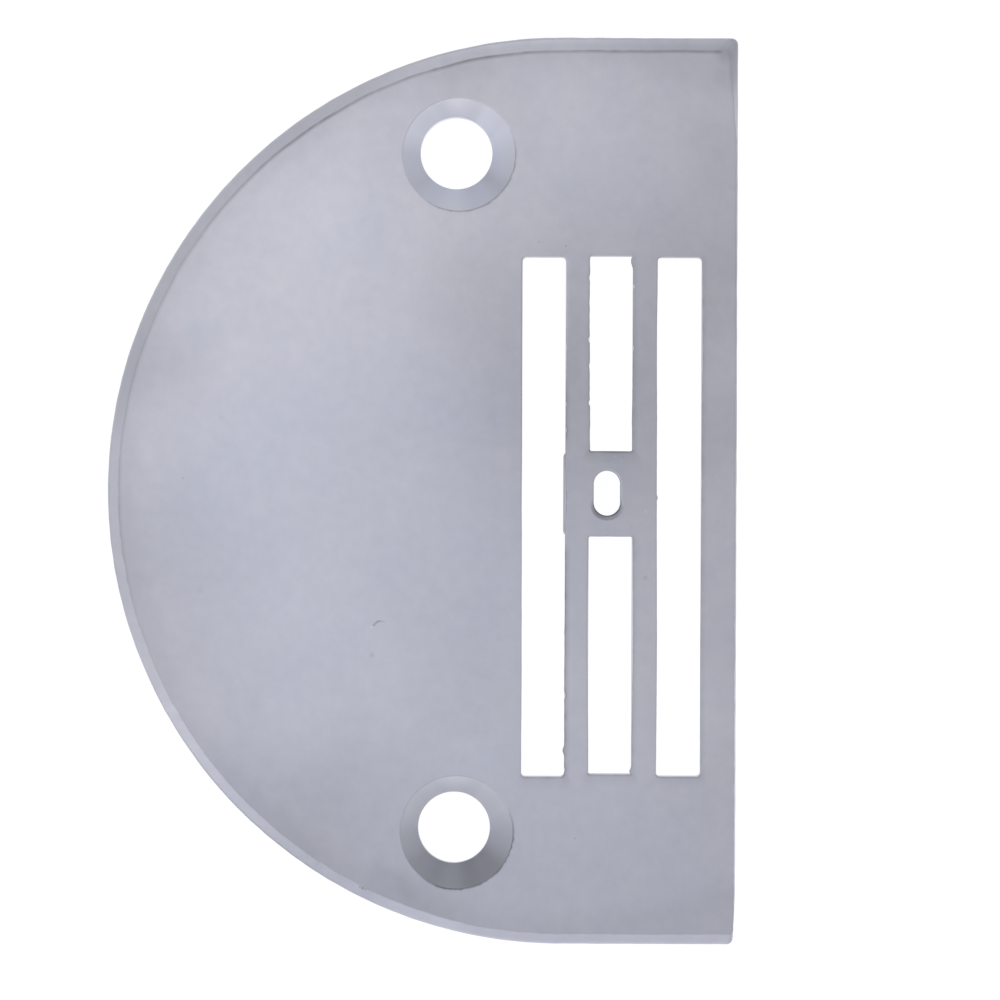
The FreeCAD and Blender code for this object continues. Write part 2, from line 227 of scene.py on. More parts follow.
# Nicks and burrs in the windows' edges, as in the photo: x, y, reach and depth outward (mm).
INNER_NICKS = ((8.0, 13.0, 14.0, 0.055), (8.0, -14.0, 9.0, -0.02), (8.0, 10.4, 0.3, 0.07),
               (8.0, 6.3, 0.2, 0.07), (8.0, 4.4, 0.2, 0.09), (8.0, -0.3, 3.6, 0.08),
               (8.0, -14.9, 0.35, 0.12), (8.0, -18.9, 0.5, -0.13), (8.0, -20.3, 0.2, 0.1))
OUTER_NICKS = ((14.7, 16.0, 8.0, -0.07), (14.7, -12.0, 14.0, 0.04), (14.7, -0.5, 0.25, -0.08),
               (17.9, 14.0, 9.0, 0.07), (17.9, -12.0, 14.0, -0.1), (17.9, 1.0, 1.4, 0.03))
FRONT_NICKS = ((9.8, 15.5, 0.22, 0.14), (9.8, 11.0, 0.26, 0.2), (9.8, 9.1, 0.18, 0.08),
               (9.8, 6.4, 0.24, 0.14), (9.8, 13.8, 3.0, 0.03), (12.9, 16.7, 0.8, -0.17),
               (12.9, 14.85, 0.2, 0.13), (12.9, 10.4, 0.25, 0.08), (12.9, 5.0, 4.0, -0.06))
REAR_NICKS = ((12.9, -20.4, 0.35, -0.16), (9.8, -9.0, 12.0, 0.07), (12.9, -10.0, 8.0, 0.02))

# Painted shade on the windows' right edges along Y, as in the photo: Y (mm) and darkness.
INNER_FADE = ((-21.0, 0.32), (-5.0, 0.3), (-3.4, 0.04), (2.9, 0.04), (4.0, 0.22), (7.0, 0.14),
              (12.0, -0.04), (18.0, -0.04))
OUTER_FADE = ((-21.0, 0.14), (18.0, 0.14))
SHORT_FADE = ((-21.0, 0.2), (18.0, 0.15))

# How pale each countersink is at places from its rear (-1) to its front (1). This stands in
# for the light in the photo.
SHEEN_PLACES = (-1.0, -0.6, 0.0, 0.45, 0.87, 1.0)
FRONT_SHEEN = (-0.03, -0.14, -0.02, 0.22, 0.19, -0.03)
REAR_SHEEN = (-0.53, -0.41, -0.14, 0.13, 0.23, 0.08)


def points_of(ring):
    """The points of a ring."""
    return {vert for edge in ring for vert in edge.verts}


def outward(point, box, corner):
    """The direction in which the outline of a round-cornered box faces at a point."""
    x0, x1, y0, y1 = box
    near_x = min(max(point.x, x0 + corner), x1 - corner)
    near_y = min(max(point.y, y0 + corner), y1 - corner)
    return Vector((point.x - near_x, point.y - near_y, 0.0)).normalized()


def loft(bm, ring, profile, place, finish=BLASTED):
    """Extrudes a ring once for each step of a profile, then puts each new ring in its place."""
    painted_light_and_tone = bm.verts.layers.float["painted_light_and_tone"]
    rings = []
    for _ in profile:
        made = bmesh.ops.extrude_edge_only(bm, edges=ring)["geom"]
        verts = {item for item in made if isinstance(item, bmesh.types.BMVert)}
        for item in made:
            if isinstance(item, bmesh.types.BMFace):
                item.material_index = finish
        ring = [item for item in made
                if isinstance(item, bmesh.types.BMEdge) and set(item.verts) <= verts]
        rings.append(ring)
    for ring, step in zip(rings, profile):
        for vert in points_of(ring):
            vert.co, vert[painted_light_and_tone] = place(vert.co.copy(), *step)
    return rings[-1]


def fill(bm, *rings):
    """Fills the flat sheet between an outer ring and the rings inside it."""
    edges = [edge for ring in rings for edge in ring]
    bmesh.ops.triangle_fill(bm, use_beauty=True, edges=edges, normal=(0, 0, 1))


def wander(point, grain):
    """How far a filed or punched edge strays at a point, from -1 to 1."""
    return noise.noise(Vector((point.x, point.y, 0.0)) / grain)


def blend(value, low, high):
    """Goes smoothly from 0 at low to 1 at high."""
    share = min(max((value - low) / (high - low), 0.0), 1.0)
    return share * share * (3 - 2 * share)


def pieces(value, *marks):
    """Follows straight pieces between marks, each given as a value and its result."""
    for (start, first), (end, last) in zip(marks, marks[1:]):
        if value <= end:
            break
    return first + (last - first) * (value - start) / (end - start)


def build_rim(bm, s, low, high):
    """The outline from the underside to the face. Returns the rings at both."""
    radius = (high.y - low.y) / 2
    middle = low.x + radius
    shoulder = high.z - s.rim_drop
    corners = [(high.x, low.y, s.corner, 5), (high.x, high.y, s.corner, 5),
               (low.x, high.y, radius, ROUND_END_STEPS), (low.x, low.y, radius, ROUND_END_STEPS)]
    ring = make_ring(bm, corners, shoulder - 0.05, RIM_SPACING)

    def facing(base):
        if base.x < middle:
            return Vector((base.x - middle, base.y, 0.0)).normalized()
        return outward(base, (low.x, high.x, low.y, high.y), s.corner)

    def inner(base):
        """The point of the face's outline that belongs to a point of the plate's outline."""
        if base.x < middle:
            side = facing(base)
            along = s.rim_front if side.y > 0 else s.rim_rear
            return base - Vector((side.x * s.rim_round, side.y * along, 0.0))
        turned = pieces(base.y, (low.y, 0.0), (high.y - s.rim_fade, 0.0), (high.y, 1.0))
        right = high.x - s.rim_straight - (s.rim_corner - s.rim_straight) * turned
        x = pieces(base.x, (middle, middle), (high.x - s.corner, right - s.face_corner),
                   (high.x, right))
        rear = low.y + s.rim_rear
        front = high.y - s.rim_front
        y = pieces(base.y, (low.y, rear), (low.y + s.corner, rear + s.face_corner),
                   (high.y - s.corner, front - s.face_corner), (high.y, front))
        return Vector((x, y, 0.0))

    def lower(base, step, height):
        stray = min(0.02 * (wander(base, 9.0) + wander(base, 1.1) - 0.6), 0.0)
        moved = base + facing(base) * (stray - step)
        # The straight edge falls back a little at its rear end.
        moved.x -= 0.17 * blend(-base.y, 29.0, 33.0) * blend(base.x, high.x - 1.5, high.x - 0.3)
        moved.z = height
        return moved, 0.0

    def crease(base):
        """How strong the rim's inner dark line is, as in the photo: a slight dip with painted shade
        along it.
        """
        if base.x > high.x - 0.7:
            return 0.15 * blend(base.y, high.y - 6.0, high.y - 1.0)
        shape_and_shade = 0.75 + 0.5 * wander(base, 6.0) + 0.3 * wander(base, 0.6)
        return shape_and_shade * (0.3 * blend(base.y, -14.0, 2.0) + 0.65 * blend(base.y, 17.0, 25.0))

    def bare(base, share):
        """Painted light and shade on the rim: how pale or dark it is, as in the photo."""
        if base.x > high.x - 0.5:
            return -0.22 * blend(base.y, -22.0, 2.0) + 0.12 * blend(base.y, 20.0, 28.0)
        left = blend(-base.x, 4.0, 14.0)
        near = blend(base.y, -12.0, -5.0) * (1.0 - blend(base.y, 2.0, 7.0))
        side = left * (0.16 * blend(base.y, -24.0, -10.0) + 0.12 * near)
        side -= left * 0.2 * near * blend(0.2 - share, 0.0, 0.15)
        front = blend(base.y, high.y - 2.5, high.y)
        side += front * (0.05 - 0.18 * blend(share, 0.0, 0.8))
        side += 0.06 * blend(base.y, 29.0, 31.0) * blend(-base.x, -4.0, 0.0)
        return side + 0.17 * blend(-base.y, 25.0, 29.0) * blend(4.5 - abs(base.x + 2.5), 0.0, 3.0)

    def upper(base, share, across, dip, line, rim):
        start, _ = lower(base, 0.0, 0.0)
        end = inner(base)
        torn = 0.025 + 0.035 * (1.0 - blend(base.y, -4.0, 6.0))
        stray = 0.05 * wander(base, 2.6) + torn * wander(base, 0.6)
        moved = start.lerp(end, share) + facing(base) * (stray * min(share, 1.0) - across)
        depth = crease(base)
        moved.z = shoulder + s.rim_drop * share - dip * depth
        # Painted shade along the crease line, and painted light and shade over the rim.
        return moved, line * depth + rim * bare(base, share)

    foot = loft(bm, ring, [(0.0, low.z + s.lower_break), (s.lower_break, low.z)], lower)
    # Share of the rim's width, distance beyond it, dip and painted shade of the crease line,
    #     # and share of the rim's painted light and shade.
    face = loft(bm, ring, [
        (0.05, 0.0, 0.0, 0.0, 1.0),
        (0.2, 0.0, 0.0, 0.0, 1.0),
        (0.5, 0.0, 0.0, 0.0, 1.0),
        (0.9, 0.0, 0.0, 0.0, 1.0),
        (0.97, 0.0, 0.004, -0.2, 0.6),
        (1.0, 0.04, 0.014, -0.44, 0.0),
        (1.0, 0.12, 0.004, -0.3, 0.0),
        (1.0, 0.22, 0.0, -0.1, 0.0),
        (1.0, 0.3, 0.0, 0.0, 0.0),
    ], upper)
    for vert in points_of(ring):
        vert.co, _ = lower(vert.co.copy(), 0.0, vert.co.z)
    return foot, face


def nicked(point, nicks):
    """How far listed nicks, each given as x, y, reach and depth, push an edge outward."""
    push = 0.0
    for x, y, reach, depth in nicks:
        gap = math.hypot((point.x - x) * 0.5, point.y - y)
        push += depth * blend(reach - gap, 0.0, reach)
    return push


def build_window(bm, s, face, ceiling, box, corner, ragged, fade, nicks):
    """One window, from the face down to the recess. Returns the rings at both.

    Ragged gives how far its left, right and end edges stray. Fade gives the painted shade on its
    left and rear edges and, as marks from rear to front, on its right edge.
    """
    lip = s.window_lip
    ring = make_box_ring(bm, box, corner, face - lip, WINDOW_SPACING)

    def place(base, grow, height, edge, shade_share):
        side = outward(base, box, corner)
        left, right, ends = ragged
        amount = abs(side.y) * ends + max(side.x, 0.0) * right + max(-side.x, 0.0) * left
        stray = amount * (wander(base, 1.9) + 0.8 * wander(base, 0.5))
        stray += abs(side.x) * nicked(base, nicks)
        reach = grow
        if side.y < -0.5 and not edge:
            reach = grow * 2.5
        moved = base + side * (reach + stray * edge)
        moved.z = height
        # Painted shade on the left, right and rear edges.
        left, rear, marks = fade
        right = pieces(base.y, *marks)
        dark = left * max(-side.x, 0.0) + right * max(side.x, 0.0) + rear * max(-side.y, 0.0)
        return moved, -shade_share * dark * (1.0 + 0.5 * wander(base, 0.8))

    # Distance from the wall, height, share of the straying and share of the painted shade.
    land = loft(bm, ring, [
        (lip * 0.13, face - lip * 0.5, 1.0, 1.6),
        (lip * 0.5, face - lip * 0.13, 1.0, 1.4),
        (lip, face, 1.0, 1.2),
        (lip * 2.4, face, 0.6, 0.6),
        (lip * 4.0, face, 0.2, 0.3),
        (0.4, face, 0.0, 0.0),
    ], place)
    foot = loft(bm, ring, [
        (0.0, ceiling + 0.05, 0.0, 1.0),
        (0.05, ceiling, 0.0, 0.0),
    ], place)
    for vert in points_of(ring):
        vert.co, _ = place(vert.co.copy(), 0.0, vert.co.z, 1.0, 0.0)
    return land, foot


def build_screw_hole(bm, s, face, underside, y, shift, sheen, lean, burrs_and_shade):
    """One screw hole with its countersink. Returns the rings at the face and the underside.

    Sheen gives the painted light and shade on the cone at each of the sheen places, on both sides,
    lean how much painted shade darkens it on the skew at its right, and burrs how torn its edge
    is and how much shade is painted along it.
    """
    sink = Vector((s.sink_shift_x, y + shift, 0.0))
    bore = Vector((0.0, y, 0.0))
    mouth = s.sink_diameter / 2
    ring = make_slot_ring(bm, sink.x, sink.y, mouth, face - 0.03, COUNTERSINK_STEPS)
    marks = list(zip(SHEEN_PLACES, sheen))

    def on_face(base, grow, height, line):
        side = (base - sink).xy.normalized().to_3d()
        burr_and_shade = blend(side.x * 0.6 - side.y * 0.8, 0.1, 0.7)
        moved = base + side * (grow + 0.06 * burrs_and_shade * burr_and_shade * wander(base, 0.35))
        moved.z = height
        # Painted shade along the burred edge.
        return moved, line * burr_and_shade * burrs_and_shade

    def on_bore(base, grow, height):
        """Where the cone meets the bore, which stands a little off its axis."""
        side = (base - sink).xy.normalized().to_3d()
        gap = sink - bore
        run = -side.dot(gap) + math.sqrt(
            side.dot(gap) ** 2 - gap.length_squared + (s.hole_diameter / 2) ** 2)
        moved = sink + side * run
        moved += (moved - bore).normalized() * grow
        if height is not None:
            moved.z = height
            return moved, 0.0
        moved.z = face - (mouth - run)
        # Painted light and shade on the cone, darker on the skew at its right.
        skew = 2.0 * lean * max(side.x, 0.0) * abs(side.y)
        return moved, pieces(side.y, *marks) - skew + 0.05 * wander(side, 0.4)

    def on_cone(base, grow, height):
        moved, painted_light_and_tone = on_bore(base, grow, height)
        return base.lerp(moved, 0.02), painted_light_and_tone

    # Distance from the cone's mouth, height and painted shade along the burred edge.
    land = loft(bm, ring, [
        (0.015, face - 0.008, -0.45),
        (0.05, face, -0.38),
        (0.11, face, -0.12),
        (0.2, face, 0.0),
        (0.45, face, 0.0),
    ], on_face)
    painted_light_and_tone = bm.verts.layers.float["painted_light_and_tone"]
    for vert in points_of(ring):
        vert[painted_light_and_tone] = on_bore(vert.co, 0.0, None)[1]
    cone = loft(bm, ring, [(0.0, None)], on_cone, TURNED)
    foot = loft(bm, cone, [(0.0, None), (0.0, underside + 0.2), (0.2, underside)], on_bore,
                TURNED)
    return land, foot


def rounding(radius, top, steps):
    """Steps that round a wall over on to the level above it."""
    turns = [math.pi / 2 * (count + 1) / steps for count in range(steps)]
    return [(radius * (1 - math.cos(turn)), top - radius * (1 - math.sin(turn)))
            for turn in turns]


def build_needle_slot(bm, s, top, bottom, top_lip, bottom_lip, slack=0.0):
    """The needle's slot between two levels, rounded over where a lip is given."""
    radius = s.slot_width / 2 + slack
    straight = s.slot_length - s.slot_width
    box = (s.slot_x - radius, s.slot_x + radius,
           s.slot_y - straight / 2 - radius, s.slot_y + straight / 2 + radius)
    ring = make_slot_ring(bm, s.slot_x, s.slot_y, radius, top - top_lip, SLOT_STEPS, straight)

    def place(base, grow, height):
        """The lip is full at the rear end, with painted shade, and a third of that elsewhere."""
        shape_and_shade = blend(s.slot_y - base.y, 0.2, 1.5)
        full = 0.35 + 0.65 * shape_and_shade if height > top - s.slot_lip and top_lip else 1.0
        moved = base + outward(base, box, radius) * grow * full
        moved.z = top - (top - height) * full
        # Painted highlight along the lip, and painted shade at its rear end.
        return moved, 0.1 - 0.44 * shape_and_shade if 0.0 < grow <= top_lip else 0.0

    upper = ring
    if top_lip:
        upper = loft(bm, ring, rounding(top_lip, top, 6) + [(top_lip + 0.1, top)], place)
    steps = [(0.0, bottom + bottom_lip)]
    if bottom_lip:
        steps += [(grow, bottom + top - height) for grow, height in rounding(bottom_lip, top, 6)]
    lower = loft(bm, ring, steps, place)
    return upper, lower


def build_shell(bm, s, low, high):
    """The plate with its rim, windows, recess, slot and screw holes, without the bridge boss."""
    ceiling = low.z + s.relief_depth
    rim_foot, rim_face = build_rim(bm, s, low, high)
    at_face = [rim_face]
    at_ceiling = []
    at_underside = [rim_foot]
    long, short = s.window_corner, s.short_corner
    for box, corner, ragged, fade, nicks in (
        ((s.inner_left, s.inner_right, s.inner_rear, s.window_front), long,
         (0.008, 0.035, 0.008), (0.0, 0.26, INNER_FADE), INNER_NICKS),
        ((s.outer_left, s.outer_right, s.outer_rear, s.window_front), long,
         (0.008, 0.012, 0.008), (0.0, 0.24, OUTER_FADE), OUTER_NICKS),
        ((s.short_left, s.short_right, s.bridge_front, s.short_front), short,
         (0.03, 0.025, 0.01), (0.06, 0.3, SHORT_FADE), FRONT_NICKS),
        ((s.short_left, s.short_right, s.short_rear, s.bridge_rear), short,
         (0.01, 0.015, 0.01), (0.06, 0.24, SHORT_FADE), REAR_NICKS),
    ):
        land, foot = build_window(bm, s, high.z, ceiling, box, corner, ragged, fade, nicks)
        at_face.append(land)
        at_ceiling.append(foot)
    upper, lower = build_needle_slot(bm, s, high.z, ceiling, s.slot_lip, 0.0)
    at_face.append(upper)
    at_ceiling.append(lower)
    for y, shift, sheen, lean, burrs_and_shade in (
        (s.hole_pitch / 2, s.sink_shift_front, FRONT_SHEEN, 0.11, 1.0),
        (-s.hole_pitch / 2, s.sink_shift_rear, REAR_SHEEN, 0.08, 1.5),
    ):
        land, foot = build_screw_hole(bm, s, high.z, low.z, y, shift, sheen, lean, burrs_and_shade)
        at_face.append(land)
        at_underside.append(foot)

    margin = s.relief_margin
    box = (s.inner_left - margin, s.outer_right + margin,
           s.inner_rear - margin, s.window_front + margin)
    relief = make_box_ring(bm, box, s.relief_corner, low.z + 0.05, RELIEF_SPACING)

    def place(base, grow, height):
        moved = base + outward(base, box, s.relief_corner) * grow
        moved.z = height
        return moved, 0.0

    at_underside.append(loft(bm, relief, [(0.05, low.z)], place))
    at_ceiling.append(loft(bm, relief, [(0.0, ceiling - 0.1), (-0.03, ceiling - 0.03),
                                        (-0.1, ceiling)], place))
    fill(bm, *at_face)
    fill(bm, *at_ceiling)
    fill(bm, *at_underside)


def build_boss(bm, s, low, high):
    """The block left standing under the needle bridge, a hair clear of its walls and its slot.

    Its top edge carries painted light against the shade of the walls beside it, pale like the
    strip beside the bridge in the photo.
    """
    hair = 0.02
    corner = 0.4
    chamfer = 0.06
    top = high.z - s.bridge_step
    box = (s.inner_right - s.bridge_swell, s.outer_left - hair,
           s.bridge_rear + hair, s.bridge_front - hair)
    side = make_box_ring(bm, box, corner, low.z + chamfer, BOSS_SPACING)

    def place(base, grow, height, pale):
        moved = base + outward(base, box, corner) * grow
        moved.z = height
        return moved, pale

    foot = loft(bm, side, [(-chamfer, low.z, 0.0)], place)
    # Distance from the side, height and painted light.
    head = loft(bm, side, [
        (0.0, top - 0.12, 0.0),
        (0.0, top - 0.07, 0.7),
        (-0.15, top, 0.7),
    ], place)
    upper, lower = build_needle_slot(bm, s, top, low.z, 0.0, s.slot_lip, hair)
    fill(bm, head, upper)
    fill(bm, foot, lower)


def to_object(bm, name):
    """Brings a shape to metres and puts it in the scene."""
    bmesh.ops.scale(bm, vec=(MM, MM, MM), verts=bm.verts)
    bmesh.ops.recalc_face_normals(bm, faces=bm.faces)
    mesh = bpy.data.meshes.new(name)
    bm.to_mesh(mesh)
    bm.free()
    piece = bpy.data.objects.new(name, mesh)
    bpy.context.scene.collection.objects.link(piece)
    return piece


def start_shape():
    """An empty shape whose points say how much light or shade is painted on the steel there."""
    bm = bmesh.new()
    bm.verts.layers.float.new("painted_light_and_tone")
    return bm


def apply_modifiers(piece):
    """Keeps a piece's shape as its modifiers leave it."""
    bpy.context.view_layer.update()
    finished = piece.evaluated_get(bpy.context.evaluated_depsgraph_get())
    mesh = bpy.data.meshes.new_from_object(finished)
    piece.modifiers.clear()
    piece.data = mesh


def add_node(tree, kind, links=None, **settings):
    """Adds a node with its settings, and links or sets its inputs."""
    node = tree.nodes.new(kind)
    for name, value in settings.items():
        setattr(node, name, value)
    for socket, source in (links or {}).items():
        if isinstance(source, bpy.types.NodeSocket):
            tree.links.new(source, node.inputs[socket])
        else:
            node.inputs[socket].default_value = source
    return node


def make_material(name):
    """A material with no nodes yet."""
    material = bpy.data.materials.new(name)
    material.use_nodes = True
    material.node_tree.nodes.clear()
    return material


# Soft patches and small marks: x, y and radius (mm), and how much paler. They were placed by
# comparing with the photo, so they also carry some of its light.
PATCHES = ((9.8, 8.0, 16.5, -0.2), (20.0, 16.5, 9.0, -0.12), (-11.5, -25.5, 11.0, -0.13),
           (-23.0, -5.0, 11.0, -0.09), (-24.0, 9.0, 9.0, -0.06), (10.0, -18.5, 14.0, 0.06),
           (-10.0, -10.0, 9.0, 0.05), (-10.0, 20.0, 8.5, 0.07), (-19.5, 16.5, 4.5, -0.04),
           (9.5, 27.0, 9.0, 0.08), (0.0, 30.5, 4.0, -0.07), (-2.5, -30.5, 5.5, -0.11),
           (-12.5, 25.0, 6.0, -0.06), (-20.5, 9.0, 5.0, -0.05), (19.5, 4.0, 5.0, -0.05),
           (19.0, 24.5, 4.0, -0.05), (-20.0, -12.5, 4.0, -0.04), (1.5, -19.5, 5.0, 0.04),
           (-4.3, -28.2, 1.4, -0.07), (-11.5, -17.5, 5.0, 0.06), (-4.5, -15.0, 7.0, 0.04),
           (18.5, -16.0, 5.0, 0.05), (19.4, 31.7, 0.9, -0.18), (19.6, 30.2, 1.6, -0.05),
           (-5.5, -27.7, 1.3, -0.05), (-3.3, -28.9, 1.3, -0.05), (-6.0, 4.0, 7.0, -0.03),
           (-14.0, 18.5, 5.0, -0.04), (1.0, 14.5, 6.0, -0.06))
MARKS = ((-6.02, -9.97, 0.12, 0.3), (-5.93, -9.88, 0.12, -0.3), (-5.84, -9.8, 0.13, -0.35),
         (-5.75, -9.7, 0.13, -0.35), (-5.65, -9.62, 0.14, -0.35), (-5.54, -9.56, 0.14, -0.35),
         (-5.43, -9.54, 0.12, -0.3), (-5.31, -9.55, 0.12, -0.25), (-5.18, -9.58, 0.1, -0.2),
         (-5.06, -9.62, 0.1, -0.15), (-6.0, -12.0, 0.3, -0.16), (6.0, 18.1, 0.1, -0.3),
         (8.0, 17.8, 0.12, -0.25), (8.8, -25.3, 0.1, -0.3), (13.85, -6.3, 0.22, -0.16),
         (13.9, -1.5, 0.15, 0.14), (-24.9, -2.7, 0.12, -0.5), (-6.85, -28.9, 0.14, -0.5),
         (-6.65, -29.0, 0.17, -0.55), (-6.45, -29.1, 0.14, -0.45), (11.6, 2.5, 0.12, 0.14),
         (12.1, 2.2, 0.12, 0.14), (-19.8, 0.8, 0.12, -0.2), (-17.0, 5.2, 0.3, -0.06),
         (-15.8, -14.0, 0.2, 0.06), (-18.5, -7.4, 0.35, -0.05))

# Where the face's cast is bluer: x, y and radius (mm), and how far it is cool steel, and the
# most that it goes to cool steel where these meet.
CASTS = ((-7.0, -5.0, 23.0, 0.8), (9.0, -31.0, 18.0, 0.8), (-8.0, -24.0, 14.0, 0.6))
CAST_LIMIT = 0.4

# How far the mottling makes the face paler and darker.
MOTTLE = 0.06


def add_spots(tree, place, spots, total):
    """Adds round soft-edged spots on the face to a total."""
    for x, y, radius, amount in spots:
        gap = add_node(tree, "ShaderNodeVectorMath",
                       {0: place, 1: (x * MM, y * MM, PLATE_HIGH.z)}, operation="DISTANCE")
        spot = add_node(tree, "ShaderNodeMapRange",
                        {"Value": gap.outputs["Value"], "From Min": 0.0, "From Max": radius * MM,
                         "To Min": amount, "To Max": 0.0}, interpolation_type="SMOOTHSTEP")
        total = add_node(tree, "ShaderNodeMath", {0: total, 1: spot.outputs["Result"]}).outputs[0]
    return total


def add_tones(tree, place):
    """How much paler the face is than bare steel: painted light and shade, patches, marks, darker
    round end.
    """
    painted_light_and_tone = add_node(tree, "ShaderNodeAttribute", attribute_name="painted_light_and_tone").outputs["Fac"]
    painted_light_and_tone = add_spots(tree, place, PATCHES + MARKS, painted_light_and_tone)
    # The face darkens from 3 mm to 1 mm inside the round end's outline, as in the photo.
    middle = PLATE_LOW.x + (PLATE_HIGH.y - PLATE_LOW.y) / 2
    outline = middle - PLATE_LOW.x
    reach = add_node(tree, "ShaderNodeVectorMath", {0: place, 1: (middle, 0.0, PLATE_HIGH.z)},
                     operation="DISTANCE")
    edge_darkening = add_node(tree, "ShaderNodeMapRange",
                    {"Value": reach.outputs["Value"], "From Min": outline - 3.0 * MM,
                     "From Max": outline - 1.0 * MM, "To Min": 0.0, "To Max": -0.06},
                    interpolation_type="SMOOTHSTEP")
    painted_light_and_tone = add_node(tree, "ShaderNodeMath", {0: painted_light_and_tone, 1: edge_darkening.outputs["Result"]}).outputs[0]
    # Mottling 1 mm across.
    mottle = add_node(tree, "ShaderNodeTexNoise",
                      {"Vector": place, "Scale": 1 / 0.001, "Detail": 3.0, "Roughness": 0.6})
    spread = add_node(tree, "ShaderNodeMapRange",
                      {"Value": mottle.outputs["Fac"], "To Min": -MOTTLE, "To Max": MOTTLE})
    return add_node(tree, "ShaderNodeMath", {0: painted_light_and_tone, 1: spread.outputs["Result"]}).outputs[0]


def scale_colour(tree, base, painted_light_and_tone):
    """A colour made paler or darker by a tone."""
    factor = add_node(tree, "ShaderNodeMath", {0: painted_light_and_tone, 1: 1.0})
    return add_node(tree, "ShaderNodeVectorMath", {0: base, "Scale": factor.outputs[0]},
                    operation="SCALE").outputs["Vector"]


def satin_steel(finish):
    """Carbon steel, ground flat and vapour blasted: a cool silky grey with no grain direction."""
    material = make_material("satin_steel")
    tree = material.node_tree
    place = add_node(tree, "ShaderNodeTexCoord").outputs["Object"]
    # Clouds 7 mm across with finer ones in them.
    clouds = add_node(tree, "ShaderNodeTexNoise",
                      {"Vector": place, "Scale": 1 / 0.007, "Detail": 6.0, "Roughness": 0.7})
    spread = add_node(tree, "ShaderNodeMapRange",
                      {"Value": clouds.outputs["Fac"], "From Min": 0.33, "From Max": 0.67})
    base = add_node(tree, "ShaderNodeMix",
                    {0: spread.outputs["Result"], 6: (*finish.steel, 1.0),
                     7: (*finish.clouds, 1.0)}, data_type="RGBA")
    cast = add_node(tree, "ShaderNodeMath",
                    {0: add_spots(tree, place, CASTS, 0.0), 1: CAST_LIMIT}, operation="MINIMUM")
    base = add_node(tree, "ShaderNodeMix",
                    {0: cast.outputs[0], 6: base.outputs[2], 7: (*finish.cool, 1.0)},
                    data_type="RGBA")
    # The points' painted light and shade, with the patches, marks and mottling, make the colour paler
    # or darker.
    toned = scale_colour(tree, base.outputs[2], add_tones(tree, place))
    # A fine grit, drawn at 0.25 mm so that it shows.
    grit = add_node(tree, "ShaderNodeTexNoise",
                    {"Vector": place, "Scale": 1 / 0.00025, "Detail": 2.0, "Roughness": 0.6})
    bump = add_node(tree, "ShaderNodeBump",
                    {"Strength": 0.1, "Distance": 0.00002, "Height": grit.outputs["Fac"]})
    shader = add_node(tree, "ShaderNodeBsdfPrincipled",
                      {"Base Color": toned, "Metallic": 1.0,
                       "Roughness": finish.roughness, "Normal": bump.outputs["Normal"]})
    add_node(tree, "ShaderNodeOutputMaterial", {"Surface": shader.outputs["BSDF"]})
    return material


def turned_steel(finish):
    """The same steel as the countersink leaves it: paler and a little glossier than the face. Its
    paleness is partly painted light in the cones.
    """
    material = make_material("turned_steel")
    tree = material.node_tree
    # The points carry the cones' painted light and shade.
    painted_light_and_tone = add_node(tree, "ShaderNodeAttribute", attribute_name="painted_light_and_tone").outputs["Fac"]
    steel = add_node(tree, "ShaderNodeRGB")
    steel.outputs[0].default_value = (*finish.turned, 1.0)
    shader = add_node(tree, "ShaderNodeBsdfPrincipled",
                      {"Base Color": scale_colour(tree, steel.outputs[0], painted_light_and_tone),
                       "Metallic": 1.0, "Roughness": finish.cut_roughness})
    add_node(tree, "ShaderNodeOutputMaterial", {"Surface": shader.outputs["BSDF"]})
    return material


def white_paper(settings):
    """Seamless white paper, which the camera and the steel see as white but for the shadow."""
    material = make_material("white_paper")
    tree = material.node_tree
    rays = add_node(tree, "ShaderNodeLightPath")
    seen = add_node(tree, "ShaderNodeMath",
                    {0: rays.outputs["Is Camera Ray"], 1: rays.outputs["Is Glossy Ray"]},
                    operation="MAXIMUM")
    seen = add_node(tree, "ShaderNodeMath",
                    {0: seen.outputs[0], 1: rays.outputs["Is Transmission Ray"]},
                    operation="MAXIMUM")
    share = add_node(tree, "ShaderNodeMath", {0: seen.outputs[0], 1: PAPER_SHARE},
                     operation="MULTIPLY")
    paper = add_node(tree, "ShaderNodeBsdfDiffuse", {"Color": (*settings.floor, 1.0)})
    white = add_node(tree, "ShaderNodeEmission", {"Strength": PAPER_STRENGTH})
    mixed = add_node(tree, "ShaderNodeMixShader",
                     {0: share.outputs[0], 1: paper.outputs["BSDF"], 2: white.outputs["Emission"]})
    add_node(tree, "ShaderNodeOutputMaterial", {"Surface": mixed.outputs["Shader"]})
    return material


def add_lamp(name, spot, size, power):
    """A square soft box at a spot (m), turned to the origin, with its side (m) and power (W)."""
    light = bpy.data.lights.new(name, "AREA")
    light.shape = "SQUARE"
    light.size = size
    light.energy = power
    lamp = bpy.data.objects.new(name, light)
    lamp.location = spot
    lamp.rotation_euler = (-Vector(spot)).to_track_quat("-Z", "Y").to_euler()
    lamp.visible_camera = False
    bpy.context.scene.collection.objects.link(lamp)


